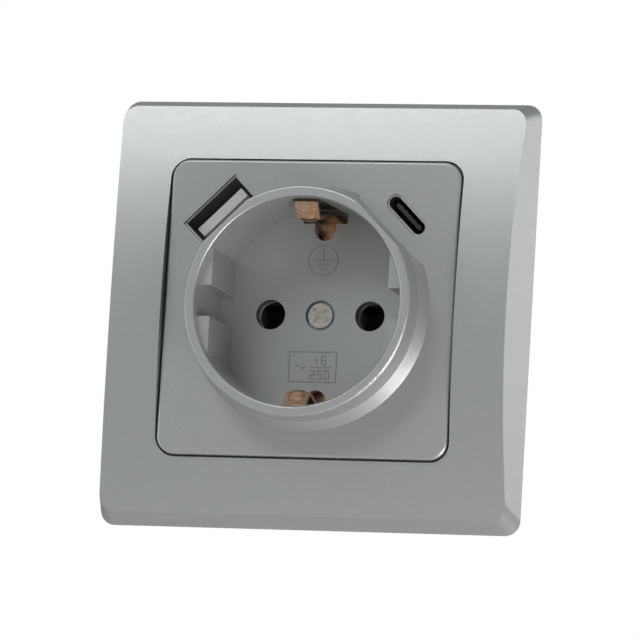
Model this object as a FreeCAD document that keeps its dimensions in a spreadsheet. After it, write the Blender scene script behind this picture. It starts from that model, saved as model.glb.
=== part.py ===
import FreeCAD, Part
import os
import re
import Sketcher

# Flush-mounting earthed socket outlet with two charging ports, cover frame and claw fixing.
# Frame: wall surface is y = 0, front toward -Y, +X right, +Z up, millimetres.

os.makedirs("parts", exist_ok=True)
doc = FreeCAD.newDocument("wall_socket")
V = FreeCAD.Vector

# Driving sizes of the assembly, each one a named cell.
SIZES = {
    "frame_half": 40.0, "frame_front_half": 36.53, "frame_corner": 3.0, "arch_radius": 157.75,
    "frame_top_half": 37.6, "frame_arch_half": 38.1, "frame_end_depth": 5.7,
    "frame_mid_depth": 10.4, "frame_wall": 2.0, "frame_skin": 2.0, "window_half": 27.9,
    "ledge_half": 26.4, "ledge_front": 4.4, "ledge_back": 3.4, "lip_wall": 1.6,
    "plate_half": 27.5, "plate_front": 9.0, "plate_skin": 2.0, "plate_edge": 0.5, "skirt_wall": 1.3,
    "rim_front": 17.8, "rim_inner": 19.4, "rim_outer": 21.35, "flange_radius": 22.9,
    "flange_rise": 2.4, "flat_distance": 20.6, "floor_front": 0.4, "floor_back": 2.0,
    "block_chord": 16.7, "block_recess": 1.8, "block_gap": 2.9, "pin_pitch": 9.5, "pin_hole": 2.8,
    "slot_half": 2.0, "slot_end": 14.0, "slot_outer": 20.3, "slot_front": 15.2,
    "slot_wide": 4.5, "slot_narrow": 2.7, "head_seat": 0.9, "screw_clear": 1.7,
    "a_along": 6.25, "a_across": 2.56, "a_centre": 25.6, "shell": 0.3,
    "c_along": 4.8, "c_across": 1.6, "c_centre": 24.9, "shell_rear": 7.0,
    "ring_half": 35.5, "ring_open": 25.8, "ring_thick": 1.2, "box_pitch": 30.0, "box_hole": 2.0,
    "base_radius": 29.2, "base_half": 23.6, "base_rear": 13.0, "skin_front": 3.0,
    "pocket_in": 5.4, "pocket_out": 13.6, "pocket_rise": 4.2, "leaf_gap": 2.3, "metal": 0.8,
    "leaf_in": 6.0, "leaf_out": 13.0, "leaf_rear": 11.0, "leaf_front": 3.4,
    "strip_in": 7.5, "strip_out": 12.0, "block_in": 10.0, "block_out": 17.0,
    "block_top": 16.5, "block_bottom": 22.6, "block_front": 4.0, "wire_x": 14.6, "wire_z": 19.5,
    "wire_hole": 1.5, "earth_half": 3.5, "earth_top": 20.6, "earth_bottom": 26.4,
    "bow_half": 4.0, "bow_front": 4.4, "clip_half": 2.2, "clip_bar": 19.0, "clip_apex": 16.1,
    "insert_radius": 2.6, "insert_front": 6.2, "insert_rear": 11.0, "thread_core": 1.5,
    "housing_rear": 32.0, "housing_wall": 1.4, "cover_thick": 1.4, "board_front": 24.0,
    "board_thick": 1.6, "port_board_thick": 1.2, "post_x": 19.4, "post_z": 10.0, "post_radius": 2.6,
    "claw_screw_x": 27.0, "claw_front": 3.2, "claw_metal": 1.2, "claw_rear": 23.0, "claw_half": 5.0,
    "claw_slot": 2.1, "claw_lip": 29.6,
}

sheet = doc.addObject("Spreadsheet::Sheet", "sheet")
for row, (alias, value) in enumerate(SIZES.items(), start=1):
    sheet.set("A%d" % row, alias)
    sheet.set("B%d" % row, str(value))
    sheet.setAlias("B%d" % row, alias)
doc.recompute()

NODES = {}


def expr(text):
    """Prefix every named size in a sum with the sheet it lives in."""
    return re.sub(r"[a-z_]{3,}", lambda m: "sheet." + m.group(0), str(text))


def num(text):
    """Value of a plain sum of terms, each a number, a named size or number*size."""
    total = 0.0
    for sign, term in re.findall(r"([+-]?)\s*([a-z_0-9.*]+)", str(text)):
        value = 1.0
        for factor in term.split("*"):
            value = value * (SIZES[factor] if factor in SIZES else float(factor))
        total = total - value if sign == "-" else total + value
    return total


def keep(node, obj):
    obj.Label = node
    NODES[node] = obj
    return obj


# Part primitives bound to the sheet, for the plain blocks and rods.
def box(name, x0, x1, y0, y1, z0, z1):
    b = doc.addObject("Part::Box", name)
    b.setExpression("Length", expr("(%s)-(%s)" % (x1, x0)))
    b.setExpression("Width", expr("(%s)-(%s)" % (y1, y0)))
    b.setExpression("Height", expr("(%s)-(%s)" % (z1, z0)))
    b.setExpression("Placement.Base.x", expr(x0))
    b.setExpression("Placement.Base.y", expr(y0))
    b.setExpression("Placement.Base.z", expr(z0))
    return b


def rod(name, radius, y0, y1, x="0", z="0"):
    """Cylinder along +Y from y0 to y1."""
    c = doc.addObject("Part::Cylinder", name)
    c.Placement = FreeCAD.Placement(V(0, 0, 0), FreeCAD.Rotation(V(1, 0, 0), -90))
    c.setExpression("Radius", expr(radius))
    c.setExpression("Height", expr("(%s)-(%s)" % (y1, y0)))
    c.setExpression("Placement.Base.x", expr(x))
    c.setExpression("Placement.Base.y", expr(y0))
    c.setExpression("Placement.Base.z", expr(z))
    return c


def post(name, radius, z0, z1, x, y):
    """Cylinder along +Z from z0 to z1."""
    c = doc.addObject("Part::Cylinder", name)
    c.setExpression("Radius", expr(radius))
    c.setExpression("Height", expr("(%s)-(%s)" % (z1, z0)))
    c.setExpression("Placement.Base.x", expr(x))
    c.setExpression("Placement.Base.y", expr(y))
    c.setExpression("Placement.Base.z", expr(z0))
    return c


def diagonal_box(name, side, along, across, centre, y0, y1):
    """Box lying on the 45 degree line of the left (side -1) or right (side 1) upper corner."""
    b = doc.addObject("Part::Box", name)
    turn = 45.0 * side
    b.Placement = FreeCAD.Placement(V(0, 0, 0), FreeCAD.Rotation(V(0, 1, 0), turn))
    b.setExpression("Length", expr("2*(%s)" % along))
    b.setExpression("Width", expr("(%s)-(%s)" % (y1, y0)))
    b.setExpression("Height", expr("2*(%s)" % across))
    sx = "-" if side > 0 else ""
    b.setExpression("Placement.Base.x",
                    expr("%d*((%s)-(%s))*0.70710678 - (%s)*0.70710678" % (side, centre, across, along)))
    lift = "-" if side < 0 else "+"
    b.setExpression("Placement.Base.z",
                    expr("((%s)-(%s))*0.70710678 %s (%s)*0.70710678" % (centre, across, lift, along)))
    b.setExpression("Placement.Base.y", expr(y0))
    return b


def fuse(name, parts):
    f = doc.addObject("Part::MultiFuse", name)
    f.Shapes = parts
    return f


def cut(name, base, tools):
    tool = tools[0] if len(tools) == 1 else fuse(name + "_tools", tools)
    c = doc.addObject("Part::Cut", name)
    c.Base = base
    c.Tool = tool
    return c


def common(name, a, b):
    c = doc.addObject("Part::Common", name)
    c.Base = a
    c.Tool = b
    return c


# Sketch based bodies.
def body_of(name):
    return doc.addObject("PartDesign::Body", name + "_body")


def plane(body, role):
    return [f for f in body.Origin.OriginFeatures if f.Role == role][0]


def sketch_on(body, name, role, offset="0"):
    s = body.newObject("Sketcher::SketchObject", name)
    s.AttachmentSupport = [(plane(body, role), "")]
    s.MapMode = "FlatFace"
    s.setExpression("AttachmentOffset.Base.z", expr(offset))
    return s


def pin_point(s, geo, end, x, y):
    for kind, ref, text in (("DistanceX", -2, x), ("DistanceY", -1, y)):
        if str(text) == "0":
            s.addConstraint(Sketcher.Constraint("PointOnObject", geo, end, ref))
        else:
            n = s.addConstraint(Sketcher.Constraint(kind, -1, 1, geo, end, num(text)))
            s.setExpression("Constraints[%d]" % n, expr(text))


def outline(s, points):
    """Closed outline of straight edges, each corner held by named sizes."""
    first = s.GeometryCount
    count = len(points)
    for i, (x, y) in enumerate(points):
        nx, ny = points[(i + 1) % count]
        s.addGeometry(Part.LineSegment(V(num(x), num(y), 0), V(num(nx), num(ny), 0)), False)
    for i in range(count):
        s.addConstraint(Sketcher.Constraint("Coincident", first + i, 2, first + (i + 1) % count, 1))
    for i, (x, y) in enumerate(points):
        pin_point(s, first + i, 1, x, y)


def ring_line(s, radius, x="0", y="0"):
    g = s.addGeometry(Part.Circle(V(num(x), num(y), 0), V(0, 0, 1), num(radius)), False)
    if str(x) == "0" and str(y) == "0":
        s.addConstraint(Sketcher.Constraint("Coincident", g, 3, -1, 1))
    else:
        pin_point(s, g, 3, x, y)
    n = s.addConstraint(Sketcher.Constraint("Radius", g, num(radius)))
    s.setExpression("Constraints[%d]" % n, expr(radius))


def square(s, half):
    outline(s, [("-" + half, "-" + half), (half, "-" + half), (half, half), ("-" + half, half)])


def volume_of(feature):
    return feature.Shape.Volume


def pad(body, s, length, mid=False):
    p = body.newObject("PartDesign::Pad", s.Name + "_pad")
    p.Profile = s
    p.setExpression("Length", expr(length))
    p.Midplane = mid
    doc.recompute()
    return p


def pocket(body, s, length=None, mid=False):
    before = volume_of(body)
    p = body.newObject("PartDesign::Pocket", s.Name + "_pocket")
    p.Profile = s
    p.Midplane = mid
    p.setExpression("Length", expr(length))
    doc.recompute()
    if not volume_of(p) < before - 0.01:
        raise RuntimeError("no material removed by " + s.Name)
    return p


def round_edges(body, name, radius, chosen):
    tip = body.Tip
    names = ["Edge%d" % (i + 1) for i, e in enumerate(tip.Shape.Edges) if chosen(e)]
    f = body.newObject("PartDesign::Fillet", name)
    f.Base = (tip, names)
    f.Radius = radius
    doc.recompute()
    return f


def upright(x_abs, z_abs, tol=0.6):
    """Chooses edges running mainly along Y near a corner."""
    def test(e):
        c = e.CenterOfMass
        b = e.BoundBox
        near = abs(abs(c.x) - x_abs) < tol and abs(abs(c.z) - z_abs) < tol
        return near and b.YLength > max(b.XLength, b.ZLength)
    return test


# Cover frame: tapered square ring whose front is a shallow arch from top to bottom.
def make_cover_frame():
    w = doc.addObject("Part::Wedge", "frame_wedge")
    reach = {"Xmin": "-frame_top_half", "Xmax": "frame_top_half", "Zmin": "-frame_front_half",
             "Zmax": "frame_front_half", "Ymin": "-frame_mid_depth", "Ymax": "0",
             "X2min": "-frame_half", "X2max": "frame_half", "Z2min": "-frame_half",
             "Z2max": "frame_half"}
    for name, text in reach.items():
        w.setExpression(name, expr(text))
    doc.recompute()
    names = [i + 1 for i, e in enumerate(w.Shape.Edges) if e.BoundBox.YLength > 5]
    rounded = doc.addObject("Part::Fillet", "frame_corners")
    rounded.Base = w
    rounded.Edges = [(i, SIZES["frame_corner"], SIZES["frame_corner"]) for i in names]
    arch = doc.addObject("Part::Cylinder", "frame_arch")
    arch.Placement = FreeCAD.Placement(V(0, 0, 0), FreeCAD.Rotation(V(0, 1, 0), 90))
    arch.setExpression("Radius", "sheet.arch_radius")
    arch.setExpression("Height", "2*sheet.frame_half")
    arch.setExpression("Placement.Base.x", "-sheet.frame_half")
    arch.setExpression("Placement.Base.y", "sheet.arch_radius - sheet.frame_mid_depth")
    front = common("frame_block", rounded, arch)
    hollow = frame_hollow()
    window = rounded_box("frame_window", "window_half", "-20", "-ledge_front", 3.7)
    inner = box("frame_ledge_hole", "-ledge_half", "ledge_half", "-ledge_front - 1", "1",
                "-ledge_half", "ledge_half")
    back = box("frame_lip_space", "-window_half - lip_wall", "window_half + lip_wall",
               "-ledge_back", "1", "-window_half - lip_wall", "window_half + lip_wall")
    shell = cut("frame_shell", front, [hollow, window, inner, back])
    return frame_ribs(shell)


def rounded_box(name, half, y0, y1, radius):
    """Square block along Y with rounded corners."""
    b = box(name + "_square", "-" + half, half, y0, y1, "-" + half, half)
    doc.recompute()
    names = [i + 1 for i, e in enumerate(b.Shape.Edges) if e.BoundBox.YLength > 1]
    f = doc.addObject("Part::Fillet", name)
    f.Base = b
    f.Edges = [(i, radius, radius) for i in names]
    return f


def frame_hollow():
    """Space under the frame's front between its outer wall and the lip round the window."""
    w = doc.addObject("Part::Wedge", "frame_space")
    reach = {"Xmin": "-frame_top_half + frame_wall", "Xmax": "frame_top_half - frame_wall",
             "Zmin": "-frame_front_half + frame_wall", "Zmax": "frame_front_half - frame_wall",
             "Ymin": "-frame_mid_depth", "Ymax": "0.5",
             "X2min": "-frame_half + frame_wall", "X2max": "frame_half - frame_wall",
             "Z2min": "-frame_half + frame_wall", "Z2max": "frame_half - frame_wall"}
    for name, text in reach.items():
        w.setExpression(name, expr(text))
    arch = doc.addObject("Part::Cylinder", "frame_space_arch")
    arch.Placement = FreeCAD.Placement(V(0, 0, 0), FreeCAD.Rotation(V(0, 1, 0), 90))
    arch.setExpression("Radius", "sheet.arch_radius - sheet.frame_skin")
    arch.setExpression("Height", "2*sheet.frame_half")
    arch.setExpression("Placement.Base.x", "-sheet.frame_half")
    arch.setExpression("Placement.Base.y", "sheet.arch_radius - sheet.frame_mid_depth")
    space = common("frame_space_block", w, arch)
    lip = box("frame_lip", "-window_half - lip_wall", "window_half + lip_wall",
              "-20", "1", "-window_half - lip_wall", "window_half + lip_wall")
    return cut("frame_hollow", space, [lip])


def frame_ribs(shell):
    """Short stiffening ribs from the lip to the outer wall on all four sides."""
    ribs = []
    for k, along in enumerate(("-16", "0", "16")):
        for side in (1, -1):
            x0, x1 = ("window_half + 1", "37.2") if side > 0 else ("-37.2", "-window_half - 1")
            z0, z1 = along + " - 0.6", along + " + 0.6"
            ribs.append(box("frame_rib_x%d%d" % (k, side + 1), x0, x1, "-5.4", "-ledge_back", z0, z1))
            ribs.append(box("frame_rib_z%d%d" % (k, side + 1), z0, z1, "-5.4", "-ledge_back", x0, x1))
    keep("cover_frame", fuse("cover_frame_solid", [shell] + ribs))


# Centre plate: skin, skirt, collar, well, guide blocks, holes and port windows in one moulding.
def make_centre_plate():
    body = body_of("centre_plate")
    s = sketch_on(body, "plate_skin_outline", "XZ_Plane", "plate_front - plate_skin")
    square(s, "plate_half")
    pad(body, s, "plate_skin")
    round_edges(body, "plate_corners", 3.3, upright(SIZES["plate_half"], SIZES["plate_half"]))
    s = sketch_on(body, "plate_skirt_outline", "XZ_Plane", "ledge_front")
    outline(s, corner_cut("plate_half", ["0.3"], "2.2"))
    outline(s, corner_cut("plate_half", ["0.3", "skirt_wall"], "1.6"))
    pad(body, s, "plate_front - plate_skin - ledge_front")
    s = sketch_on(body, "collar_outline", "XZ_Plane", "-floor_back")
    ring_line(s, "rim_outer")
    pad(body, s, "rim_front + floor_back")
    s = sketch_on(body, "flange_section", "XY_Plane")
    outline(s, [("18", "-plate_front + 1"), ("flange_radius", "-plate_front + 1"),
                ("flange_radius", "-plate_front"), ("rim_outer", "-plate_front - flange_rise"),
                ("18", "-plate_front - flange_rise")])
    r = body.newObject("PartDesign::Revolution", "flange_turn")
    r.Profile = s
    r.ReferenceAxis = (s, ["V_Axis"])
    doc.recompute()
    s = sketch_on(body, "well_outline", "XZ_Plane", "rim_front")
    ring_line(s, "rim_inner")
    pocket(body, s, "rim_front - floor_front")
    plate_blocks(body)
    plate_flats(body)
    round_edges(body, "rim_round", 0.45, rim_edges)
    plate_holes(body)
    plate_windows(body)
    round_edges(body, "plate_front_round", SIZES["plate_edge"], plate_border)
    keep("centre_plate", body)


def corner_cut(half, insets, chamfer):
    """Square outline with cut corners, set back from the named half width."""
    far = half + "".join(" - " + k for k in insets)
    near = "-" + half + "".join(" + " + k for k in insets)
    far_in, near_in = far + " - " + chamfer, near + " + " + chamfer
    return [(near, near_in), (near_in, near), (far_in, near), (far, near_in),
            (far, far_in), (far_in, far), (near_in, far), (near, far_in)]


def rim_edges(e):
    b = e.BoundBox
    return b.YLength < 0.01 and abs(b.YMin + SIZES["rim_front"]) < 0.01


def plate_border(e):
    b = e.BoundBox
    flat = b.YLength < 0.01 and abs(b.YMin + SIZES["plate_front"]) < 0.01
    c = e.CenterOfMass
    return flat and max(abs(c.x), abs(c.z)) > SIZES["plate_half"] - 1.6


def plate_blocks(body):
    """Four guide blocks on the left and right of the well."""
    s = sketch_on(body, "guide_block_outline", "XZ_Plane", "floor_front")
    for sx in ("", "-"):
        for sz in ("", "-"):
            outline(s, [(sx + "block_chord", sz + "block_gap"), (sx + "19.4", sz + "block_gap"),
                        (sx + "18.4", sz + "9.4"), (sx + "block_chord", sz + "10.2")])
    pad(body, s, "rim_front - block_recess - floor_front")


def plate_flats(body):
    """Both upper corners of the collar are cut back to make room for the ports."""
    s = sketch_on(body, "collar_flats", "XZ_Plane", "rim_front")
    for sx in ("", "-"):
        near = "flat_distance*0.70710678"
        outline(s, [(sx + near + signed(sx, 6.4), near + " - 6.4"),
                    (sx + near + signed(sx, 10.0), near + " - 2.8"),
                    (sx + near + signed(sx, -2.8), near + " + 10.0"),
                    (sx + near + signed(sx, -6.4), near + " + 6.4")])
    pocket(body, s, "rim_front - plate_front")


def signed(sx, value):
    value = -value if sx == "-" else value
    return " %s %s" % ("-" if value < 0 else "+", abs(value))


def plate_holes(body):
    s = sketch_on(body, "pin_hole_outline", "XZ_Plane", "floor_front")
    ring_line(s, "pin_hole", "pin_pitch")
    ring_line(s, "pin_hole", "-pin_pitch")
    pocket(body, s, "floor_front + floor_back")
    s = sketch_on(body, "screw_head_seat", "XZ_Plane", "floor_front")
    ring_line(s, "pin_hole")
    pocket(body, s, "head_seat + floor_front")
    s = sketch_on(body, "screw_hole_outline", "XZ_Plane", "floor_front")
    ring_line(s, "screw_clear")
    pocket(body, s, "floor_front + floor_back")
    for name, sz in (("upper", ""), ("lower", "-")):
        s = sketch_on(body, name + "_slot_end", "XZ_Plane", "floor_front")
        ring_line(s, "slot_half", "0", sz + "slot_end" + (" - slot_half" if sz else " + slot_half"))
        pocket(body, s, "floor_front + floor_back")
        s = sketch_on(body, name + "_slot", "XZ_Plane", "floor_front")
        near = sz + "slot_end" + (" - slot_half" if sz else " + slot_half")
        outline(s, [("-slot_half", near), ("slot_half", near),
                    ("slot_half", sz + "slot_outer"), ("-slot_half", sz + "slot_outer")])
        pocket(body, s, "floor_front + floor_back")
        s = sketch_on(body, name + "_clip_window", "XY_Plane", "-17.2" if sz else "slot_outer")
        outline(s, [("-slot_wide", "floor_back"), ("slot_wide", "floor_back"),
                    ("slot_narrow", "-slot_front"), ("-slot_narrow", "-slot_front")])
        pocket(body, s, "slot_outer - 17.2")


def corner_points(side, centre, across, along):
    """Corners of a rectangle lying on the 45 degree line of an upper corner."""
    k = 0.70710678
    c, a, b = SIZES[centre] * k, across * k, along * k
    pts = [(c - a + b, c - a - b), (c + a + b, c + a - b), (c + a - b, c + a + b), (c - a - b, c - a + b)]
    out = []
    for x, z in pts:
        dx, dz = x - c, z - c
        out.append((("-" if side < 0 else "") + centre + "*0.70710678" + signed("-" if side < 0 else "", dx),
                    centre + "*0.70710678" + signed("", dz)))
    return out


def plate_windows(body):
    s = sketch_on(body, "port_a_window", "XZ_Plane", "plate_front + 0.01")
    outline(s, corner_points(-1, "a_centre", SIZES["a_across"] + 0.36, SIZES["a_along"] + 0.36))
    pocket(body, s, "plate_skin + 0.02")
    s = sketch_on(body, "port_c_window", "XZ_Plane", "plate_front + 0.01")
    outline(s, corner_points(1, "c_centre", SIZES["c_across"], SIZES["c_along"] - SIZES["c_across"]))
    pocket(body, s, "plate_skin + 0.02")
    shift = (SIZES["c_along"] - SIZES["c_across"]) * 0.70710678
    for k, step in enumerate((shift, -shift)):
        s = sketch_on(body, "port_c_end%d" % k, "XZ_Plane", "plate_front + 0.01")
        ring_line(s, "c_across", "c_centre*0.70710678" + signed("", step),
                  "c_centre*0.70710678" + signed("", -step))
        pocket(body, s, "plate_skin + 0.02")


# Turned screws with a cross and slot recess, drawn as half sections.
def screw(node, radius, head_radius, head, length, socket=True):
    body = body_of(node)
    s = sketch_on(body, node + "_section", "XY_Plane")
    outline(s, [("0", "0"), (str(head_radius), "0"), (str(head_radius), str(head)),
                (str(radius), str(head)), (str(radius), "%s - 0.4" % length),
                ("%s - 0.4" % radius, str(length)), ("0", str(length))])
    r = body.newObject("PartDesign::Revolution", node + "_turn")
    r.Profile = s
    r.ReferenceAxis = (s, ["V_Axis"])
    doc.recompute()
    if socket:
        s = sketch_on(body, node + "_recess", "XZ_Plane")
        arm, half = "%s - 0.35" % head_radius, "0.3"
        outline(s, [("-" + str(head_radius) + " + 0.35", "-" + half), (arm, "-" + half), (arm, half),
                    ("-" + str(head_radius) + " + 0.35", half)])
        pocket(body, s, "%s" % (0.55 * head))
    keep(node, body)
    return body


def place(body, x, y, z, axis=None, angle=0.0):
    turn = FreeCAD.Rotation(axis, angle) if axis else FreeCAD.Rotation()
    body.Placement = FreeCAD.Placement(V(0, 0, 0), turn)
    for name, text in (("x", x), ("y", y), ("z", z)):
        body.setExpression("Placement.Base." + name, expr(text))


def side_box(name, side, xa, xb, y0, y1, z0, z1):
    """Box between xa and xb on the right (side 1) or its mirror on the left (side -1)."""
    if side > 0:
        return box(name, xa, xb, y0, y1, z0, z1)
    return box(name, "-(%s)" % xb, "-(%s)" % xa, y0, y1, z0, z1)


def sx(side, text):
    return text if side > 0 else "-(%s)" % text


# Steel support ring on the wall surface, with screw holes and claw screw holes.
def make_support_ring():
    outer = box("ring_outer", "-ring_half", "ring_half", "-ring_thick", "0", "-ring_half", "ring_half")
    tools = [box("ring_opening", "-base_half - 0.4", "base_half + 0.4", "-3", "3",
                 "-ring_open", "ring_open"),
             box("ring_port_space", "-ring_open", "ring_open", "-3", "3", "10", "ring_open")]
    for side in (1, -1):
        tools.append(rod("ring_box_hole%d" % side, "box_hole", "-3", "3", "0", sx(side, "box_pitch")))
        tools.append(rod("ring_claw_hole%d" % side, "1.7", "-3", "3", sx(side, "claw_screw_x")))
        for up in (1, -1):
            n = "%d%d" % (side + 1, up + 1)
            tools.append(rod("ring_rivet_hole" + n, "1.05", "-3", "3", sx(side, "6"), sx(up, "26.9")))
            tools.append(rod("ring_slot" + n, "1.6", "-3", "3", sx(side, "30.5"), sx(up, "30.5")))
    plain = cut("ring_plain", outer, tools)
    doc.recompute()
    names = [i + 1 for i, e in enumerate(plain.Shape.Edges)
             if abs(abs(e.CenterOfMass.x) - SIZES["ring_half"]) < 0.01
             and abs(abs(e.CenterOfMass.z) - SIZES["ring_half"]) < 0.01]
    f = doc.addObject("Part::Fillet", "ring_rounded")
    f.Base = plain
    f.Edges = [(i, 4.0, 4.0) for i in names]
    keep("support_ring", f)
    rivets = []
    for side in (1, -1):
        for up in (1, -1):
            n = "%d%d" % (side + 1, up + 1)
            x, z = sx(side, "6"), sx(up, "26.9")
            rivets.append(fuse("rivet" + n, [rod("rivet_head" + n, "1.7", "-ring_thick - 0.6", "-ring_thick", x, z),
                                            rod("rivet_shank" + n, "1.0", "-ring_thick - 0.1", "4.0", x, z)]))
    keep("ring_rivets", fuse("ring_rivet_group", rivets))


# Front insulator: carries the contacts, the terminals and the screw insert.
def round_block(name, radius, half, y0, y1):
    disc = rod(name + "_disc", radius, y0, y1)
    slab = box(name + "_slab", "-(%s)" % half, half, y0, y1, "-30", "30")
    return common(name, disc, slab)


def make_socket_base():
    block = round_block("base_block", "base_radius", "base_half", "floor_back", "base_rear")
    feet = [box("base_foot%d%d" % (s + 1, u + 1), sx(s, "6") + " - 1.9", sx(s, "6") + " + 1.9",
                "0", "floor_back + 0.5", sx(u, "26.9") + " - 0.9", sx(u, "26.9") + " + 0.9")
            for s in (1, -1) for u in (1, -1)]
    tools = base_cutters()
    whole = fuse("base_with_feet", [block] + feet)
    keep("socket_base", cut("socket_base_solid", whole, tools))


def base_cutters():
    tools = [box("base_bow_space", "-4.3", "4.3", "1", "bow_front + metal", "-26.6", "21"),
             box("base_bow_clip_top", "-3", "3", "1", "bow_front + metal", "14", "21"),
             rod("base_screw_bore", "screw_clear", "1", "12.2"),
             rod("base_insert_bore", "insert_radius", "insert_front", "14"),
             box("base_earth_terminal", "-earth_half - 0.1", "earth_half + 0.1", "2.5", "14",
                 "-earth_bottom - 0.1", "-earth_top + 0.1"),
             post("base_earth_access", "2.2", "-30", "-earth_bottom", "0", "8"),
             box("base_port_space", "-26", "26", "6.6", "14", "10.4", "24.9")]
    for side in (1, -1):
        n = "_right" if side > 0 else "_left"
        tools.append(side_box("base_pocket" + n, side, "pocket_in", "pocket_out", "skin_front", "14",
                              "-pocket_rise", "pocket_rise"))
        tools.append(rod("base_pin_hole" + n, "pin_hole", "1", "4", sx(side, "pin_pitch")))
        tools.append(side_box("base_channel" + n, side, "strip_in - 0.2", "strip_out + 0.2",
                              "leaf_rear - 0.2", "14", "-block_bottom - 0.2", "-4"))
        tools.append(side_box("base_terminal" + n, side, "block_in - 0.1", "block_out + 0.1",
                              "block_front", "14", "-block_bottom - 0.1", "-block_top + 0.1"))
        tools.append(post("base_terminal_access" + n, "2.2", "-30", "-block_bottom",
                          sx(side, "wire_x"), "7.5"))
        tools.append(side_box("base_port_front" + n, side, "5.4", "26", "1", "7", "10.4", "24.9"))
        tools.append(rod("base_housing_screw" + n, "0.95", "5", "14", sx(side, "post_x"), "-post_z"))
        tools.append(rod("base_rivet_top" + n, "1.0", "-1", "4.2", sx(side, "6"), "26.9"))
        tools.append(rod("base_rivet_low" + n, "1.0", "-1", "4.2", sx(side, "6"), "-26.9"))
    tools.append(diagonal_box("base_port_a_space", -1, "a_along + 0.6", "a_across + 0.6", "a_centre",
                              "1", "7"))
    return tools


# Spring contacts for the pins, with a strip down to each terminal.
def make_contact(node, side):
    leaves = [side_box(node + "_leaf_top", side, "leaf_in", "leaf_out", "leaf_front", "leaf_rear",
                       "leaf_gap", "leaf_gap + metal"),
              side_box(node + "_leaf_low", side, "leaf_in", "leaf_out", "leaf_front", "leaf_rear",
                       "-leaf_gap - metal", "-leaf_gap"),
              side_box(node + "_bridge", side, "leaf_in", "leaf_out", "leaf_rear", "leaf_rear + metal",
                       "-leaf_gap - metal", "leaf_gap + metal"),
              side_box(node + "_strip", side, "strip_in", "strip_out", "leaf_rear",
                       "leaf_rear + metal", "-block_bottom", "-leaf_gap")]
    keep(node, fuse(node + "_solid", leaves))


def make_terminal(node, side):
    block = side_box(node + "_block", side, "block_in", "block_out", "block_front", "leaf_rear",
                     "-block_bottom", "-block_top")
    wire = rod(node + "_wire", "wire_hole", "block_front + 1", "14", sx(side, "wire_x"), "-wire_z")
    thread = post(node + "_thread", "1.35", "-30", "-wire_z", sx(side, "wire_x"), "7.5")
    keep(node, cut(node + "_solid", block, [wire, thread]))


def make_earth_parts():
    arms = [box("bow_bar", "-bow_half", "bow_half", "bow_front", "bow_front + metal",
                "-14.6", "14.6")]
    for side in (1, -1):
        arms.append(side_box("bow_arm%d" % side, side, "2.6", "bow_half", "bow_front",
                             "bow_front + metal", "-26", "-14"))
    clip = body_of("earth_clips")
    for name, s in (("upper_clip", ""), ("lower_clip", "-")):
        sk = sketch_on(clip, name, "YZ_Plane")
        outline(sk, clip_points(s))
        pad(clip, sk, "2*clip_half", True)
    whole = fuse("bow_whole", arms + [clip])
    hole = rod("bow_hole", "screw_clear", "1", "7")
    keep("earth_bow", cut("earth_bow_solid", whole, [hole]))
    block = box("earth_block", "-earth_half", "earth_half", "bow_front + metal", "12",
                "-earth_bottom", "-earth_top")
    wire = rod("earth_wire", "wire_hole", "6.4", "14", "0", "-23.5")
    thread = post("earth_thread", "1.35", "-30", "-23.5", "0", "8")
    keep("earth_terminal", cut("earth_terminal_solid", block, [wire, thread]))


def clip_points(s):
    """Side outline of one earthing clip: bar, leg through the floor, bulge and bent tip."""
    rear, front = "bow_front + metal", "bow_front"
    return [(rear, s + "14.2"), (rear, s + "clip_bar"), ("-3", s + "19.0"), ("-11.4", s + "clip_apex" +
            (" - 0.7" if s else " + 0.7")), ("-12.4", s + "clip_apex" + (" - 0.7" if s else " + 0.7")),
            ("-14.6", s + "19.4"), ("-14.9", s + "18.8"), ("-12.5", s + "clip_apex"),
            ("-11.2", s + "clip_apex"), ("-3", s + "18.2"), (front, s + "17.9"), (front, s + "14.2")]


def make_fixings():
    for node, x, z, y in (("live_terminal_screw", "wire_x", "-block_bottom - 2.0", "7.5"),
                          ("neutral_terminal_screw", "-wire_x", "-block_bottom - 2.0", "7.5"),
                          ("earth_terminal_screw", "0", "-earth_bottom - 1.9", "8")):
        body = screw(node, 1.25, 1.8, 1.2, 3.1)
        place(body, x, y, z, V(1, 0, 0), 90)
    body = screw("centre_screw", 1.5, 2.3, 1.1, 10.0, False)
    cross = sketch_on(body, "centre_screw_cross", "XZ_Plane")
    outline(cross, [("-1.9", "-0.35"), ("-0.35", "-0.35"), ("-0.35", "-1.5"), ("0.35", "-1.5"),
                    ("0.35", "-0.35"), ("1.9", "-0.35"), ("1.9", "0.35"), ("0.35", "0.35"),
                    ("0.35", "1.5"), ("-0.35", "1.5"), ("-0.35", "0.35"), ("-1.9", "0.35")])
    pocket(body, cross, "0.7")
    place(body, "0", "head_seat - 1.1", "0", V(0, 1, 0), 45)
    sleeve = rod("insert_sleeve", "insert_radius", "insert_front", "insert_rear")
    keep("screw_insert", cut("screw_insert_solid", sleeve, [rod("insert_bore", "1.55", "4", "12")]))
    for side, node in ((1, "right_claw_screw"), (-1, "left_claw_screw")):
        body = screw(node, 1.5, 2.6, 1.8, 24.0)
        place(body, sx(side, "claw_screw_x"), "-ring_thick - 1.8", "0")
    screws = []
    for side in (1, -1):
        n = "%d" % (side + 1)
        x = sx(side, "post_x")
        screws.append(fuse("housing_screw" + n, [rod("housing_screw_shank" + n, "0.95", "6", "29.6", x,
                                                    "-post_z"),
                                                rod("housing_screw_head" + n, "1.9", "29.5", "31.1", x,
                                                    "-post_z")]))
    keep("housing_screws", fuse("housing_screw_group", screws))


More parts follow.
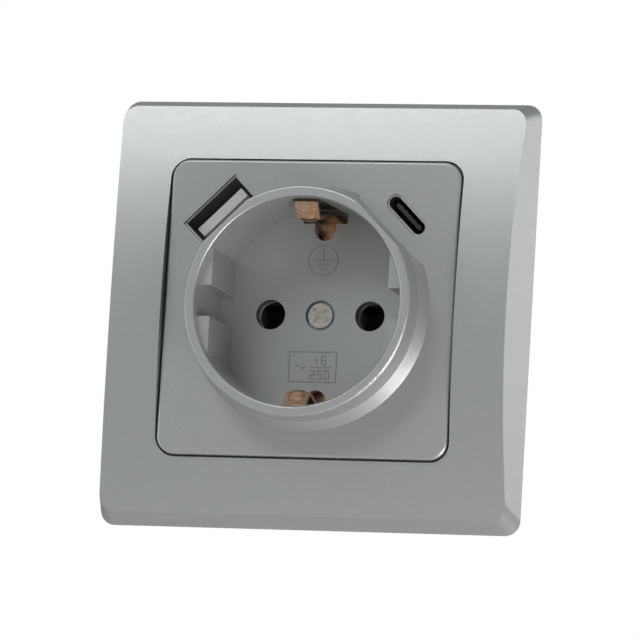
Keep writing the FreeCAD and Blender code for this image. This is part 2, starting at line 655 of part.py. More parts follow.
# Spreading claws: a lip under the screw head and two toothed prongs beside the screw.
def make_claw(node, side):
    x0, x1 = "base_half", "base_half + claw_metal"
    parts = [side_box(node + "_lip", side, x0, "claw_lip", "claw_front", "claw_front + claw_metal",
                      "-claw_half", "claw_half")]
    for k, (za, zb) in enumerate((("claw_slot", "claw_half"), ("-claw_half", "-claw_slot"))):
        parts.append(side_box("%s_prong%d" % (node, k), side, x0, x1, "claw_front", "claw_rear", za, zb))
        for j in range(3):
            y = "claw_rear - %s" % (1.0 + 2.4 * j)
            parts.append(side_box("%s_tooth%d%d" % (node, k, j), side, x0, x1 + " + 1.3",
                                  y, y + " + 0.9", za, zb))
    hole = side_box(node + "_hole", side, "claw_screw_x - 2.1", "claw_screw_x + 2.0",
                    "1", "6", "-1.75", "1.75")
    keep(node, cut(node + "_solid", fuse(node + "_whole", parts), [hole]))


# Charging ports standing on their own small board.
def make_port_a():
    outer = diagonal_box("port_a_outer", -1, "a_along + shell", "a_across + shell", "a_centre",
                         "-plate_front + 0.6", "shell_rear")
    inner = diagonal_box("port_a_inner", -1, "a_along", "a_across", "a_centre", "-10", "8")
    keep("usb_a_shell", cut("usb_a_shell_solid", outer, [inner]))
    tongue = diagonal_box("port_a_tongue", -1, "5.5", "0.92", "a_centre - 0.3", "-7.4", "6")
    heel = diagonal_box("port_a_heel", -1, "a_along", "a_across", "a_centre", "3.6", "shell_rear")
    strips, grooves = [], []
    for k, along in enumerate((-3.5, -1.0, 1.0, 3.5)):
        strips.append(port_strip("port_a_strip%d" % k, -1, "a_centre - 1.32", 0.12, along, "-6.6", 0.55))
        grooves.append(port_strip("port_a_groove%d" % k, -1, "a_centre - 1.32", 0.12, along, "-6.6", 0.55))
    keep("usb_a_contacts", fuse("usb_a_contact_group", strips))
    keep("usb_a_tongue", cut("usb_a_tongue_solid", fuse("port_a_insulator", [tongue, heel]), grooves))


def port_strip(name, side, centre, across, along, front, half):
    """One thin contact strip, shifted along the 45 degree line of its port."""
    b = diagonal_box(name, side, str(half), str(across), centre, front, "shell_rear")
    k = 0.70710678 * along
    turn = 45.0 * side
    c, h = "(%s)" % centre, str(half)
    b.setExpression("Placement.Base.x", expr("%d*(%s-%s)*0.70710678 - %s*0.70710678 + %s"
                                             % (side, c, across, h, k)))
    b.setExpression("Placement.Base.z", expr("(%s-%s)*0.70710678 %s %s*0.70710678 %s %s"
                                             % (c, across, "-" if side < 0 else "+", h,
                                                "+" if side < 0 else "-", k)))
    return b


def stadium(name, half_flat, radius, y0, y1):
    """Rounded slot block on the right port's 45 degree line."""
    k = 0.70710678 * half_flat
    parts = [diagonal_box(name + "_mid", 1, str(half_flat), radius, "c_centre", y0, y1)]
    for j, step in enumerate((k, -k)):
        parts.append(rod("%s_end%d" % (name, j), radius, y0, y1, "c_centre*0.70710678 + (%s)" % step,
                         "c_centre*0.70710678 - (%s)" % step))
    return fuse(name, parts)


def make_port_c():
    outer = stadium("port_c_outer", 3.2, "c_across - 0.06", "-plate_front + 0.4", "shell_rear")
    inner = stadium("port_c_inner", 3.2, "c_across - 0.36", "-10", "8")
    keep("usb_c_shell", cut("usb_c_shell_solid", outer, [inner]))
    tongue = diagonal_box("port_c_tongue", 1, "3.3", "0.35", "c_centre", "-7.2", "6")
    heel = stadium("port_c_heel", 3.2, "c_across - 0.36", "3.0", "shell_rear")
    strips, grooves = [], []
    for k in range(10):
        face, along = (-1 if k < 5 else 1), -2.4 + 1.2 * (k % 5)
        where = "c_centre + (%s)" % (0.3 * face)
        strips.append(port_strip("port_c_strip%d" % k, 1, where, 0.09, along, "-6.8", 0.22))
        grooves.append(port_strip("port_c_groove%d" % k, 1, where, 0.09, along, "-6.8", 0.22))
    keep("usb_c_contacts", fuse("usb_c_contact_group", strips))
    keep("usb_c_tongue", cut("usb_c_tongue_solid", fuse("port_c_insulator", [tongue, heel]), grooves))


def make_boards():
    disc = rod("port_board_disc", "base_radius - 0.4", "shell_rear", "shell_rear + port_board_thick")
    slab = box("port_board_slab", "-24.4", "24.4", "5", "10", "10.6", "24.7")
    keep("port_board", common("port_board_solid", disc, slab))
    disc = rod("power_board_disc", "base_radius - housing_wall - 0.3", "board_front",
               "board_front + board_thick")
    slab = box("power_board_slab", "-22", "22", "20", "30", "-5.5", "30")
    keep("power_board", common("power_board_solid", disc, slab))
    pins = [rod("board_pin%d" % k, "0.45", "shell_rear + port_board_thick", "board_front",
                str(-3.81 + 2.54 * k), "22.5") for k in range(4)]
    keep("board_pins", fuse("board_pin_group", pins))
    leads = [rod("mains_lead%d" % (side + 1), "0.6", "leaf_rear + metal", "board_front",
                 sx(side, "9.75"), "-3.6") for side in (1, -1)]
    keep("mains_leads", fuse("mains_lead_group", leads))


def make_components():
    core = cut("core_solid", box("core_outer", "-7.5", "7.5", "15.4", "21.8", "1", "15"),
               [box("core_windows", "-9", "9", "16.8", "20.4", "3.4", "12.6")])
    leg = box("core_leg", "-2.4", "2.4", "16.6", "20.6", "1.5", "14.5")
    sides = [side_box("core_side%d" % s, s, "6", "7.5", "15.6", "21.6", "1.2", "14.8") for s in (1, -1)]
    keep("transformer_core", fuse("transformer_core_solid", [core, leg] + sides))
    winding = box("winding_outer", "-5.4", "5.4", "16.8", "20.4", "3.4", "12.6")
    hole = box("winding_hole", "-2.4", "2.4", "16", "21", "3", "13")
    feet = [box("winding_foot%d" % k, "-4.5", "4.5", "21.8", "board_front", z, z + " + 1.6")
            for k, z in enumerate(("1.6", "12.8"))]
    keep("transformer_winding", cut("transformer_winding_solid", winding, [hole]))
    keep("transformer_feet", fuse("transformer_foot_group", feet))
    keep("input_capacitor", rod("input_capacitor_can", "4.6", "15.2", "board_front", "14.8", "5"))
    keep("output_capacitor", rod("output_capacitor_can", "3.6", "15.6", "board_front", "-14.4", "4"))
    keep("filter_choke", rod("filter_choke_drum", "3.2", "18.4", "board_front", "-14.2", "13.4"))
    keep("bridge_rectifier", box("bridge_rectifier_block", "11.5", "17.5", "21.4", "board_front",
                                 "12", "16.5"))
    keep("control_chip", box("control_chip_block", "-3", "3", "board_front + board_thick",
                             "board_front + board_thick + 1.5", "5", "10"))


# Divider over the contacts and the cup that closes the back of the insert.
def make_divider():
    disc = round_block("divider_disc", "base_radius - housing_wall - 0.1",
                       "base_half - housing_wall - 0.1", "base_rear", "base_rear + cover_thick")
    tools = [rod("divider_earth_wire", "2.0", "12", "16", "0", "-23.5"),
             box("divider_pin_slot", "-5", "5", "12", "16", "21.3", "23.7")]
    for side in (1, -1):
        n = str(side + 1)
        tools.append(rod("divider_wire" + n, "2.0", "12", "16", sx(side, "wire_x"), "-wire_z"))
        tools.append(rod("divider_lead" + n, "0.9", "12", "16", sx(side, "9.75"), "-3.6"))
        tools.append(rod("divider_post" + n, "1.3", "12", "16", sx(side, "post_x"), "-post_z"))
    keep("contact_divider", cut("contact_divider_solid", disc, tools))


def make_rear_housing():
    outer = round_block("housing_outer", "base_radius", "base_half", "base_rear", "housing_rear")
    inner = round_block("housing_inner", "base_radius - housing_wall", "base_half - housing_wall",
                        "base_rear - 1", "housing_rear - 1.6")
    shell = cut("housing_shell", outer, [inner])
    adds, holes = [], []
    for side in (1, -1):
        n = str(side + 1)
        x = sx(side, "post_x")
        adds.append(rod("housing_post" + n, "post_radius", "base_rear + cover_thick",
                        "housing_rear - 1", x, "-post_z"))
        holes.append(rod("housing_post_hole" + n, "1.2", "12", "33", x, "-post_z"))
        holes.append(rod("housing_head_hole" + n, "2.2", "29.5", "33", x, "-post_z"))
        holes.append(rod("housing_wire" + n, "2.3", "29", "33", sx(side, "wire_x"), "-wire_z"))
        for k, z in enumerate(("-3.5", "19")):
            adds.append(rod("housing_rest%s%d" % (n, k), "1.8", "board_front + board_thick",
                            "housing_rear - 1", sx(side, "14" if k else "19"), z))
    holes.append(rod("housing_earth_wire", "2.3", "29", "33", "0", "-23.5"))
    for k in range(5):
        holes.append(box("housing_vent%d" % k, "-6", "6", "29", "33", "%s" % (3 + 3 * k),
                         "%s" % (4.2 + 3 * k)))
    keep("rear_housing", cut("rear_housing_solid", fuse("housing_whole", [shell] + adds), holes))


def check_and_write():
    doc.recompute()
    for obj in doc.Objects:
        if "Invalid" in obj.State or "Error" in obj.State:
            raise RuntimeError("not built: " + obj.Name)
    for node, obj in NODES.items():
        shape = obj.Shape
        if shape.isNull() or not shape.isValid() or shape.Volume <= 0:
            raise RuntimeError("bad shape: " + node)
        shape.exportStep("parts/%s.step" % node)
        print("%-24s volume %9.2f solids %d" % (node, shape.Volume, len(shape.Solids)))


make_cover_frame()
make_centre_plate()
make_support_ring()
make_socket_base()
make_contact("live_contact", 1)
make_contact("neutral_contact", -1)
make_terminal("live_terminal", 1)
make_terminal("neutral_terminal", -1)
make_earth_parts()
make_fixings()
make_claw("right_claw", 1)
make_claw("left_claw", -1)
make_port_a()
make_port_c()
make_boards()
make_components()
make_divider()
make_rear_housing()
check_and_write()
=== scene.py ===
# %% [markdown]
# USB wall socket, made in steps. The first step brings in the measured model of the part
# and frees each mesh from its parent, with its place baked into the mesh.
# The shapes could be modelled again here, but the measured ones are exact, so Blender
# adds only finishes and fine pieces to them.

import bpy
import numpy as np
from mathutils import Matrix, Vector


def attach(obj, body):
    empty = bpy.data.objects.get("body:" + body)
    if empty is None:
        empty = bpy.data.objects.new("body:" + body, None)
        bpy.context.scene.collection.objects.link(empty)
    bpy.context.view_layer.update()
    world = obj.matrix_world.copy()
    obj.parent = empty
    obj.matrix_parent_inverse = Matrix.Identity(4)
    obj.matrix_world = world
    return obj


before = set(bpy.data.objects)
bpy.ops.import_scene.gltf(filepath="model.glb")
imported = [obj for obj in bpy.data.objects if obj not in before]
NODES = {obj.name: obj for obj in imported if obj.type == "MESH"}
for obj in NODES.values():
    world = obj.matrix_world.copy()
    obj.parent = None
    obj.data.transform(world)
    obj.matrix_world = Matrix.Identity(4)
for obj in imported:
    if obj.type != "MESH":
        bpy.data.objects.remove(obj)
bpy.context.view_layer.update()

# %% [markdown]
# Every finish is a node material. A small helper keeps them alike: it makes the
# material, returns its shader and lets each finish wire in its own grain. Object
# coordinates are used, because they stay put on the piece from every side. They are
# in metres, so a grain of a tenth of a millimetre needs a scale of about ten thousand.


# %% Helpers for materials
def new_material(name, colour, rough, metal=0.0):
    """A Principled material with the plain values set on the shader itself."""
    mat = bpy.data.materials.new(name)
    mat.use_nodes = True
    shader = mat.node_tree.nodes["Principled BSDF"]
    shader.inputs["Base Color"].default_value = (*colour, 1.0)
    shader.inputs["Roughness"].default_value = rough
    shader.inputs["Metallic"].default_value = metal
    return mat, shader


def noise(mat, scale, detail, stretch=(1, 1, 1)):
    """Noise on Object coordinates, stretched by a Mapping node; returns its factor socket."""
    tree = mat.node_tree
    where = tree.nodes.new("ShaderNodeTexCoord")
    turn = tree.nodes.new("ShaderNodeMapping")
    turn.inputs["Scale"].default_value = stretch
    cloud = tree.nodes.new("ShaderNodeTexNoise")
    cloud.inputs["Scale"].default_value = scale
    cloud.inputs["Detail"].default_value = detail
    tree.links.new(where.outputs["Object"], turn.inputs["Vector"])
    tree.links.new(turn.outputs["Vector"], cloud.inputs["Vector"])
    return cloud.outputs["Fac"]


def ramp(mat, factor, low, high, start=0.35, stop=0.65):
    """Low colour up to start, high colour from stop on, and an even blend between them."""
    tree = mat.node_tree
    node = tree.nodes.new("ShaderNodeValToRGB")
    node.color_ramp.elements[0].position = start
    node.color_ramp.elements[0].color = (*low, 1.0)
    node.color_ramp.elements[1].position = stop
    node.color_ramp.elements[1].color = (*high, 1.0)
    tree.links.new(factor, node.inputs["Fac"])
    return node.outputs["Color"]


def bump(mat, shader, factor, strength, depth):
    """Height from a factor, as fine relief under the gloss."""
    node = mat.node_tree.nodes.new("ShaderNodeBump")
    node.inputs["Strength"].default_value = strength
    node.inputs["Distance"].default_value = depth
    mat.node_tree.links.new(factor, node.inputs["Height"])
    mat.node_tree.links.new(node.outputs["Normal"], shader.inputs["Normal"])


def finish(name, low, high, rough, metal=0.0, scale=3000.0, relief=0.0, stretch=(1, 1, 1), spread=0.08):
    """A whole finish: two nearby colours mixed by a grain, uneven gloss and fine relief.

    The gloss varies by spread on both sides of rough, over patches that are about
    fourteen times as wide as the grain.
    """
    mat, shader = new_material(name, high, rough, metal)
    grain = noise(mat, scale, 4.0, stretch)
    mat.node_tree.links.new(ramp(mat, grain, low, high), shader.inputs["Base Color"])
    patches = noise(mat, scale * 0.07, 2.0, stretch)
    gloss = ramp(mat, patches, (rough - spread,) * 3, (rough + spread,) * 3)
    mat.node_tree.links.new(gloss, shader.inputs["Roughness"])
    if relief:
        bump(mat, shader, grain, 0.5, relief)
    return mat


def dress(mat, *names):
    """Gives the material to the named nodes of the measured model."""
    for name in names:
        NODES[name].data.materials.clear()
        NODES[name].data.materials.append(mat)
    print(mat.name, "->", ", ".join(names))


# %% [markdown]
# The silver of the cover frame and centre plate is paint with fine metal flake on
# moulded plastic. It could be a bare metal shader, but real flake paint scatters far
# more, so the base is seven tenths metallic and satin. Cells of about 0.07 mm shift its
# colour a little, like single flakes, and a thin clear coat lies on top.

# %% Silver paint
FLAKE_SCALE, GLOSS_SCALE, RELIEF_SCALE = 14000.0, 900.0, 9000.0
GLOSS_SWING = 0.012


def silver_paint(name, dark, light, rough):
    """Flake paint: the colour falls from light to dark with the distance from each flake's middle."""
    mat, shader = new_material(name, light, rough, 0.7)
    flakes = mat.node_tree.nodes.new("ShaderNodeTexVoronoi")
    flakes.inputs["Scale"].default_value = FLAKE_SCALE
    where = mat.node_tree.nodes.new("ShaderNodeTexCoord")
    mat.node_tree.links.new(where.outputs["Object"], flakes.inputs["Vector"])
    mat.node_tree.links.new(ramp(mat, flakes.outputs["Distance"], light, dark, 0.1, 0.9),
                            shader.inputs["Base Color"])
    uneven = ramp(mat, noise(mat, GLOSS_SCALE, 3.0), (rough - GLOSS_SWING,) * 3, (rough + GLOSS_SWING,) * 3)
    mat.node_tree.links.new(uneven, shader.inputs["Roughness"])
    bump(mat, shader, noise(mat, RELIEF_SCALE, 2.0), 0.12, 0.00002)
    shader.inputs["Coat Weight"].default_value = 0.12
    shader.inputs["Coat Roughness"].default_value = 0.35
    return mat


dress(silver_paint("silver_frame_paint", (0.40, 0.415, 0.412), (0.53, 0.547, 0.543), 0.42), "cover_frame")
dress(silver_paint("silver_plate_paint", (0.40, 0.415, 0.41), (0.53, 0.545, 0.54), 0.42), "centre_plate")

# %% [markdown]
# The insulators are white mouldings and the steel is zinc plated. Both could have one
# plain colour, but a fine grain in colour and gloss keeps them from looking like wax.

# %% Finishes of mouldings and steel
white = finish("white_moulding", (0.66, 0.665, 0.64), (0.74, 0.745, 0.72), 0.55, 0, 2600.0, 0.00004)
dress(white, "socket_base", "rear_housing", "contact_divider")
zinc = finish("zinc_plating", (0.50, 0.51, 0.49), (0.64, 0.65, 0.63), 0.36, 0.9, 1500.0, 0.00002,
              (1, 1, 6))
dress(zinc, "support_ring", "ring_rivets", "left_claw", "right_claw", "left_claw_screw",
      "right_claw_screw", "housing_screws", "live_terminal_screw", "neutral_terminal_screw",
      "earth_terminal_screw")
nickel = finish("nickel_plating", (0.62, 0.60, 0.55), (0.80, 0.78, 0.73), 0.24, 1.0, 1800.0, 0.00001)
dress(nickel, "centre_screw")

# %% [markdown]
# Terminals are brass, the earthing clips are spring bronze and the port shells are
# bright plated. Rolled strip has a grain along its length, which could be a drawn
# texture. Noise that is squeezed along one axis gives the same lines without a picture.

# %% Finishes of contacts and ports
brass = finish("contact_brass", (0.50, 0.36, 0.15), (0.66, 0.50, 0.24), 0.32, 1.0, 900.0, 0.00002,
               (1, 1, 8))
dress(brass, "live_terminal", "neutral_terminal", "earth_terminal", "screw_insert", "mains_leads")
# The live and neutral contacts sit deep behind the pin holes. Their brass is painted nearly black, as
# painted shade for those holes.
painted_shade_brass = finish("contact_brass_painted_shade", (0.02, 0.016, 0.01), (0.05, 0.038, 0.02), 0.5, 0.6, 900.0)
dress(painted_shade_brass, "live_contact", "neutral_contact")
bronze = finish("spring_bronze", (0.42, 0.25, 0.15), (0.66, 0.44, 0.30), 0.30, 1.0, 800.0, 0.00002,
                (1, 8, 1))
dress(bronze, "earth_bow")
bright = finish("port_shell_plating", (0.55, 0.55, 0.55), (0.72, 0.72, 0.71), 0.30, 1.0, 1400.0, 0.00001)
dress(bright, "usb_a_shell", "usb_c_shell")
dress(finish("light_tongue", (0.60, 0.60, 0.61), (0.70, 0.70, 0.71), 0.5, 0, 2600.0), "usb_a_tongue")
dress(finish("dark_tongue", (0.02, 0.02, 0.021), (0.035, 0.035, 0.036), 0.5, 0, 2600.0),
      "usb_c_tongue", "transformer_feet")
dress(finish("gold_flash", (0.70, 0.48, 0.18), (0.85, 0.63, 0.28), 0.25, 1.0, 2400.0, 0, (1, 1, 1), 0.05),
      "usb_a_contacts", "usb_c_contacts", "board_pins")

# %% [markdown]
# The charging supply has green boards, grey ferrite, a yellow taped winding, blue
# sleeved capacitors and black chips. Printed details could be added, but these parts
# lie inside the rear housing, where they would hardly show, so each has one finish.

# %% Finishes of the charging supply
dress(finish("solder_mask", (0.02, 0.10, 0.04), (0.03, 0.16, 0.06), 0.35, 0, 1200.0, 0.00002),
      "port_board", "power_board")
dress(finish("ferrite", (0.035, 0.035, 0.038), (0.07, 0.07, 0.075), 0.6, 0, 2000.0, 0.00004),
      "transformer_core", "filter_choke")
dress(finish("winding_tape", (0.52, 0.38, 0.04), (0.66, 0.50, 0.07), 0.32, 0, 700.0, 0.00002),
      "transformer_winding")
dress(finish("can_sleeve", (0.015, 0.02, 0.09), (0.03, 0.035, 0.14), 0.3, 0, 600.0),
      "input_capacitor", "output_capacitor")
dress(finish("chip_black", (0.015, 0.015, 0.016), (0.03, 0.03, 0.03), 0.55, 0, 3000.0, 0.00002),
      "bridge_rectifier", "control_chip")

# %% [markdown]
# New pieces are surfaces worked out as whole arrays. A grid of points becomes a mesh
# with one call, and a closed profile carried along a path becomes a bar or a ring.
# They could be modelled by hand, but a formula is shorter and can be changed later.


# %% Helper for a mesh from a grid
def grid_mesh(name, points, close_u=False, close_v=False, mats=()):
    """Mesh from points[u, v] = position; neighbours in u and v make four-sided faces."""
    nu, nv = points.shape[:2]
    index = np.arange(nu * nv).reshape(nu, nv)
    iu = np.concatenate([index, index[:1]]) if close_u else index
    full = np.concatenate([iu, iu[:, :1]], axis=1) if close_v else iu
    quads = np.stack([full[:-1, :-1], full[1:, :-1], full[1:, 1:], full[:-1, 1:]], -1).reshape(-1, 4)
    mesh = bpy.data.meshes.new(name)
    mesh.from_pydata(points.reshape(-1, 3).tolist(), [], quads.tolist())
    mesh.update()
    piece = bpy.data.objects.new(name, mesh)
    bpy.context.scene.collection.objects.link(piece)
    for mat in mats:
        mesh.materials.append(mat)
    return piece


# %% [markdown]
# Raised lines on a moulding have a rectangular section. Each could be a scaled cube,
# but a section carried along a path also makes rings and bent lines, and its ends close
# to one point each, where a weld joins the doubled corners.

# %% Helpers for bars and rings
MM = 0.001
FORWARD = (0.0, -1.0, 0.0)
WELD_DISTANCE = 1e-7


def solid_strip(centre, across, up, width, height):
    """Four corner lines round a path: the path plus or minus half the width and half the height."""
    a, b = across * (width / 2), up * (height / 2)
    return np.stack([centre - a - b, centre + a - b, centre + a + b, centre - a + b], axis=1)


def capped(name, ring, mat):
    """Closed bar from rings of corners: each end is drawn in to its middle point."""
    first, last = ring[:1].mean(axis=1, keepdims=True), ring[-1:].mean(axis=1, keepdims=True)
    n = ring.shape[1]
    points = np.concatenate([np.repeat(first, n, axis=1), ring, np.repeat(last, n, axis=1)])
    piece = grid_mesh(name, points, close_v=True, mats=(mat,))
    clean = piece.modifiers.new("weld", "WELD")
    clean.merge_threshold = WELD_DISTANCE
    return piece


def bar(name, start, end, width, height, mat):
    """Straight bar: its centre line runs from start to end, and its height stands forward."""
    p = np.linspace(np.array(start, float), np.array(end, float), 2)
    along = (p[1] - p[0]) / np.linalg.norm(p[1] - p[0])
    up = np.array(FORWARD)
    return capped(name, solid_strip(p, np.cross(along, up), up, width, height), mat)


def circle_bar(name, x, y, z, radius, width, height, mat, count=64):
    """Ring bar: centre plus radius times (sine, 0, cosine), with a rectangular section."""
    t = np.linspace(0, 2 * np.pi, count, endpoint=False)
    out = np.stack([np.sin(t), np.zeros(count), np.cos(t)], axis=1)
    middle = np.array([x, y, z]) + radius * out
    ring = solid_strip(middle, out, np.tile(FORWARD, (count, 1)), width, height)
    return grid_mesh(name, ring, close_u=True, close_v=True, mats=(mat,))


def join_as(name, pieces):
    """Joins bars into one mesh object, so that one mark is one piece."""
    depsgraph = bpy.context.evaluated_depsgraph_get()
    verts, faces, base = [], [], 0
    for piece in pieces:
        mesh = piece.evaluated_get(depsgraph).to_mesh()
        v = np.empty(len(mesh.vertices) * 3)
        mesh.vertices.foreach_get("co", v)
        verts.append(v.reshape(-1, 3))
        faces += [tuple(i + base for i in f.vertices) for f in mesh.polygons]
        base += len(mesh.vertices)
        piece.evaluated_get(depsgraph).to_mesh_clear()
    mesh = bpy.data.meshes.new(name)
    mesh.from_pydata(np.concatenate(verts).tolist(), [], faces)
    mesh.materials.append(pieces[0].data.materials[0])
    whole = bpy.data.objects.new(name, mesh)
    bpy.context.scene.collection.objects.link(whole)
    for piece in pieces:
        bpy.data.objects.remove(piece)
    print(name, "faces", len(mesh.polygons))
    return whole


# %% [markdown]
# The floor of the well carries two small moulded marks: the sign for earth and a box
# with plain numbers. They could be painted on with a texture, but on the real part
# they stand out by about a tenth of a millimetre, so each line is a thin raised bar.

# %% Values and strokes of the marks
WELL_FLOOR = -0.4 * MM
STROKE_MIDDLE = WELL_FLOOR - 0.03 * MM
STROKE_HEIGHT = 0.12 * MM
SIGN_WIDTH, BOX_WIDTH, DIGIT_WIDTH, DIVIDER_WIDTH = 0.28, 0.2, 0.22, 0.18
mark = silver_paint("mark_paint", (0.32, 0.335, 0.33), (0.42, 0.435, 0.43), 0.40)


def floor_bar(x0, z0, x1, z1, width):
    """Raised stroke on the well floor, straight from (x0, z0) to (x1, z1), all in millimetres."""
    return bar("stroke", (x0 * MM, STROKE_MIDDLE, z0 * MM), (x1 * MM, STROKE_MIDDLE, z1 * MM),
               width * MM, STROKE_HEIGHT, mark)


print("strokes stand out to y", STROKE_MIDDLE - STROKE_HEIGHT / 2)

# %% [markdown]
# The sign for earth is a ring with a stem and three bars that grow shorter downward.
# It could be drawn as a curve with a bevel, but bars and a ring bar have the flat top
# and the square edges of a moulded line.


# %% Sign for earth
def earth_sign(x, z, size):
    """Ring, stem and three shortening bars, all scaled by the ring's radius."""
    parts = [circle_bar("ring", x * MM, STROKE_MIDDLE, z * MM, size * MM, SIGN_WIDTH * MM,
                        STROKE_HEIGHT, mark)]
    parts.append(floor_bar(x, z + 0.75 * size, x, z, SIGN_WIDTH))
    for k, half in enumerate((0.62, 0.42, 0.2)):
        level = z - 0.27 * k * size
        parts.append(floor_bar(x - half * size, level, x + half * size, level, SIGN_WIDTH))
    return join_as("earth_sign", parts)


earth_mark = earth_sign(0.0, 10.3, 2.8)
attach(earth_mark, "socket")

# %% [markdown]
# The rating box holds a wave for alternating current and two plain numbers over each
# other. Text objects could make them, but straight strokes match the raised bars of
# the other mark and need no font.

# %% Box with the ratings
DIGITS = {"1": [(0.5, 0, 0.5, 1)],
          "2": [(0, 1, 1, 1), (1, 1, 1, 0.5), (1, 0.5, 0, 0.5), (0, 0.5, 0, 0), (0, 0, 1, 0)],
          "5": [(1, 1, 0, 1), (0, 1, 0, 0.5), (0, 0.5, 1, 0.5), (1, 0.5, 1, 0), (1, 0, 0, 0)],
          "6": [(1, 1, 0, 1), (0, 1, 0, 0), (0, 0, 1, 0), (1, 0, 1, 0.5), (1, 0.5, 0, 0.5)],
          "0": [(0, 0, 0, 1), (0, 1, 1, 1), (1, 1, 1, 0), (1, 0, 0, 0)]}
DIGIT_WIDE, DIGIT_HIGH, DIGIT_STEP = 0.8, 1.5, 1.4
WAVE = np.array([(-3.3, -0.1), (-2.9, 0.35), (-2.4, 0.0), (-1.9, -0.35), (-1.5, 0.1)])


def number(text, x, z):
    """Digits as straight strokes: corner plus share times width or height, one step apart from x."""
    strokes = []
    for k, digit in enumerate(text):
        for a, b, c, d in DIGITS[digit]:
            strokes.append(floor_bar(x + k * DIGIT_STEP + a * DIGIT_WIDE, z + b * DIGIT_HIGH,
                                     x + k * DIGIT_STEP + c * DIGIT_WIDE, z + d * DIGIT_HIGH, DIGIT_WIDTH))
    return strokes


def rating_box(x, z, wide, high):
    """Four sides at half the width and height from the middle, with the numbers and the wave inside."""
    left, right, low, top = x - wide / 2, x + wide / 2, z - high / 2, z + high / 2
    sides = [(left, low, right, low), (left, top, right, top),
             (left, low, left, top), (right, low, right, top)]
    parts = [floor_bar(*side, BOX_WIDTH) for side in sides]
    parts += number("16", x + 0.3, z + 0.5)
    parts.append(floor_bar(x - 0.5, z - 0.05, x + 3.6, z - 0.05, DIVIDER_WIDTH))
    parts += number("250", x - 0.4, z - 2.2)
    wave = WAVE + [x, z]
    parts += [floor_bar(*start, *end, BOX_WIDTH) for start, end in zip(wave[:-1], wave[1:])]
    return join_as("rating_box", parts)


rating_mark = rating_box(-0.9, -9.6, 9.0, 5.6)
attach(rating_mark, "socket")

# %% [markdown]
# The screws have threads on the real part. A thread could be a bump pattern, but it is
# seen from the side on the long claw screws, so it is a real ridge: a small triangle
# carried along a helix. Its root is sunk into the shank and its height fades over the
# first and last turn.

# %% Threads on the claw screws
SCREW_X, SHANK_RADIUS = 27 * MM, 1.49 * MM
THREAD_START, THREAD_END = 0.5 * MM, 19.6 * MM
PITCH, DEPTH, SUNK = 0.7 * MM, 0.22 * MM, -0.05 * MM
STEPS_PER_TURN = 20


def thread(name, x, z, y0, y1, radius, pitch, depth, mat):
    """Helix of triangles: angle grows by a full turn per pitch while y goes from y0 to y1."""
    turns = (y1 - y0) / pitch
    t = np.linspace(0, turns * 2 * np.pi, int(turns * STEPS_PER_TURN))
    y = y0 + (y1 - y0) * t / t[-1]
    fade = np.clip(np.minimum(t, t[-1] - t) / (2 * np.pi), 0.02, 1.0)
    ring = []
    for dy, dr in ((-0.42 * pitch, SUNK), (0.0, depth), (0.42 * pitch, SUNK)):
        r = radius + np.where(dr > 0, dr * fade, dr)
        ring.append(np.stack([x + r * np.cos(t), y + dy, z + r * np.sin(t)], axis=1))
    return capped(name, np.stack(ring, axis=1), mat)


for side, sign in (("right", 1), ("left", -1)):
    ridge = thread(side + "_claw_thread", sign * SCREW_X, 0.0, THREAD_START, THREAD_END,
                   SHANK_RADIUS, PITCH, DEPTH, zinc)
    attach(ridge, side + "_claw_screw")
    print(ridge.name, "steps", len(ridge.data.vertices) // 3)

# %% [markdown]
# The earthing clips have a pressed ridge down their middle, which catches the light in
# the well. It could be a bump pattern, but its edge shows against the slot, so it is a
# narrow half round bar that follows the same bent line as the strip.

# %% Ridges on the earthing clips
STRIP_LINE = np.array([(-4.0, 18.06), (-7.0, 17.3), (-10.6, 16.3), (-11.2, 16.1), (-12.5, 16.1),
                       (-13.3, 17.0), (-14.0, 17.75)])
RIDGE_HALF, RIDGE_HEIGHT, RIDGE_SUNK = 1.5, 0.55, 0.2
RIDGE_STEPS, RIDGE_CORNERS = 24, 12


def clip_ridge(name, sign, mat):
    """Half ellipse carried along the strip's inner line (y, z).

    Across, x is the half width times the cosine. The inner half rises by the height times
    the sine, and by the root of a half wave along the line, so it fades at both ends. The
    outer half lies sunk in the strip.
    """
    gap = np.linalg.norm(np.diff(STRIP_LINE, axis=0), axis=1)
    s = np.concatenate([[0], np.cumsum(gap)])
    t = np.linspace(0, s[-1], RIDGE_STEPS)
    y, z = np.interp(t, s, STRIP_LINE[:, 0]), np.interp(t, s, STRIP_LINE[:, 1])
    rise = RIDGE_HEIGHT * np.sin(np.pi * t / s[-1]) ** 0.5
    a = np.linspace(0, 2 * np.pi, RIDGE_CORNERS, endpoint=False)[None, :]
    inner = np.sin(a) > 0
    px = RIDGE_HALF * np.cos(a) * np.ones((RIDGE_STEPS, 1))
    pz = z[:, None] - rise[:, None] * np.sin(a) * inner + RIDGE_SUNK * ~inner
    points = np.stack([px, y[:, None] * np.ones((1, RIDGE_CORNERS)), sign * pz], axis=2) * MM
    if sign < 0:
        points = points[:, ::-1]
    return capped(name, points, mat)


for name, sign in (("upper_clip_ridge", 1), ("lower_clip_ridge", -1)):
    ridge = clip_ridge(name, sign, bronze)
    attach(ridge, "socket")
    print(ridge.name, "points", len(ridge.data.vertices))

# %% [markdown]
# The part has nothing to stand on, since it belongs in a wall, so a pale floor lies far
# enough below to stay clear of the view from the front. A white floor would need more
# light, which would bleach the part too. Instead the floor glows for camera rays only.

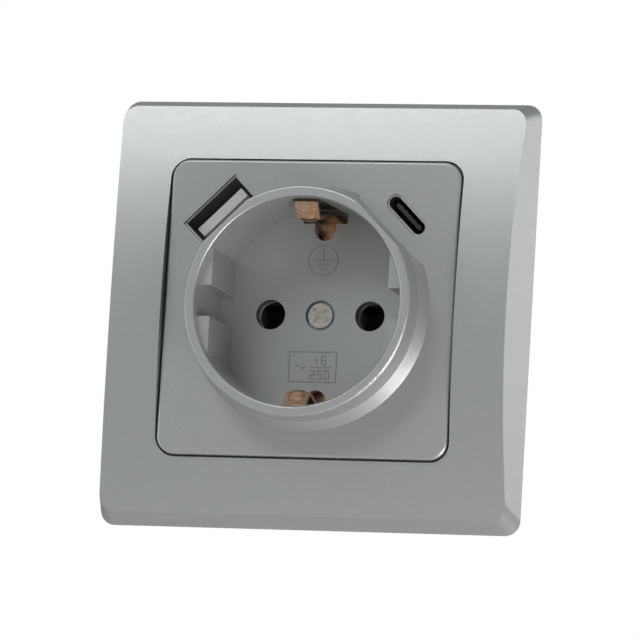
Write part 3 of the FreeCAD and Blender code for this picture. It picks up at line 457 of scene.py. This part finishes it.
# %% Floor
FLOOR_LEVEL, FLOOR_HALF, FLOOR_GLOW = -0.32, 3.0, 0.5
edge = (-FLOOR_HALF, FLOOR_HALF)
floor_mesh = grid_mesh("floor", np.array([[(x, y, FLOOR_LEVEL) for y in edge] for x in edge]))
floor_mat, floor_shader = new_material("pale_floor", (0.86, 0.86, 0.86), 0.9)
floor_mesh.data.materials.append(floor_mat)
seen_floor = floor_mat.node_tree.nodes.new("ShaderNodeLightPath")
glow = floor_mat.node_tree.nodes.new("ShaderNodeMath")
glow.operation = "MULTIPLY"
glow.inputs[1].default_value = FLOOR_GLOW
floor_mat.node_tree.links.new(seen_floor.outputs["Is Camera Ray"], glow.inputs[0])
floor_mat.node_tree.links.new(glow.outputs["Value"], floor_shader.inputs["Emission Strength"])
floor_shader.inputs["Emission Color"].default_value = (1, 1, 1, 1)
print("floor at z", FLOOR_LEVEL)

# %% [markdown]
# Behind the part the photo is plain white. A white world at full strength would light
# the part from all sides and flatten it, so the camera sees white, and every other ray
# gets a third of that, slightly blue.

# %% World
world = bpy.data.worlds.new("studio")
bpy.context.scene.world = world
world.use_nodes = True
tree = world.node_tree
ground = tree.nodes["Background"]
ground.inputs["Color"].default_value = (0.97, 0.985, 1.0, 1.0)
ground.inputs["Strength"].default_value = 0.34
seen = tree.nodes.new("ShaderNodeBackground")
seen.inputs["Color"].default_value = (1, 1, 1, 1)
seen.inputs["Strength"].default_value = 1.0
path = tree.nodes.new("ShaderNodeLightPath")
mix = tree.nodes.new("ShaderNodeMixShader")
tree.links.new(path.outputs["Is Camera Ray"], mix.inputs["Fac"])
tree.links.new(ground.outputs["Background"], mix.inputs[1])
tree.links.new(seen.outputs["Background"], mix.inputs[2])
tree.links.new(mix.outputs["Shader"], tree.nodes["World Output"].inputs["Surface"])
print("world light", ground.inputs["Strength"].default_value)

# %% [markdown]
# In the photo the top of the arched frame is brightest and the lower side is lit from
# below. So the strongest lamp is high and a little to the left, one stands far out on
# the left, and a small one is low on the right. The last is behind, for the views of
# the back. They could be spots, but large squares give the soft edges of a photo tent.


# %% Lamps
def soft_lamp(name, place, aim, size, power, colour=(1, 1, 1)):
    """Square lamp at place, turned so that it shines at aim."""
    lamp = bpy.data.lights.new(name, "AREA")
    lamp.size, lamp.energy, lamp.color = size, power, colour
    obj = bpy.data.objects.new(name, lamp)
    obj.location = place
    obj.rotation_euler = (Vector(aim) - Vector(place)).to_track_quat("-Z", "Y").to_euler()
    bpy.context.scene.collection.objects.link(obj)
    print(name, "lamp", power, "W")


soft_lamp("key", (-0.32, -0.80, 0.74), (0, 0, 0), 0.42, 2.9, (0.98, 0.98, 1.0))
soft_lamp("left", (-0.95, -0.60, 0.02), (0, 0, 0), 0.5, 1.5)
soft_lamp("low", (0.30, -0.16, -0.30), (0.01, -0.01, -0.01), 0.30, 2.2, (1.0, 0.985, 0.95))
soft_lamp("back", (0.7, 0.9, 0.35), (0, 0, 0), 0.6, 1.6)

# %% [markdown]
# The camera stands to the right of the part and a little below it, a good metre away,
# with a long lens and a slight roll. It could be placed by eye. Here its place and
# directions come from matching edges in the photo with the model's sizes.

# %% Camera
FOCAL_PIXELS, PICTURE_WIDE, SENSOR_WIDE = 6064.0, 640.0, 36.0
scene = bpy.context.scene
forward = Vector((-0.2609, 0.9541, 0.1472)).normalized()
right = Vector((0.9652, 0.2548, 0.0590))
right = (right - forward * right.dot(forward)).normalized()
up = right.cross(forward)
place = Vector((0.2924, -1.0696, -0.1658))
turn = Matrix((right, up, -forward)).transposed().to_4x4()
camera_data = bpy.data.cameras.new("camera")
camera_data.sensor_width = SENSOR_WIDE
camera_data.lens = SENSOR_WIDE * FOCAL_PIXELS / PICTURE_WIDE
camera_data.clip_start = 0.01
camera = bpy.data.objects.new("camera", camera_data)
camera.matrix_world = Matrix.Translation(place) @ turn
scene.collection.objects.link(camera)
scene.camera = camera
scene.view_settings.view_transform = "Standard"
print("camera lens", camera_data.lens, "mm")
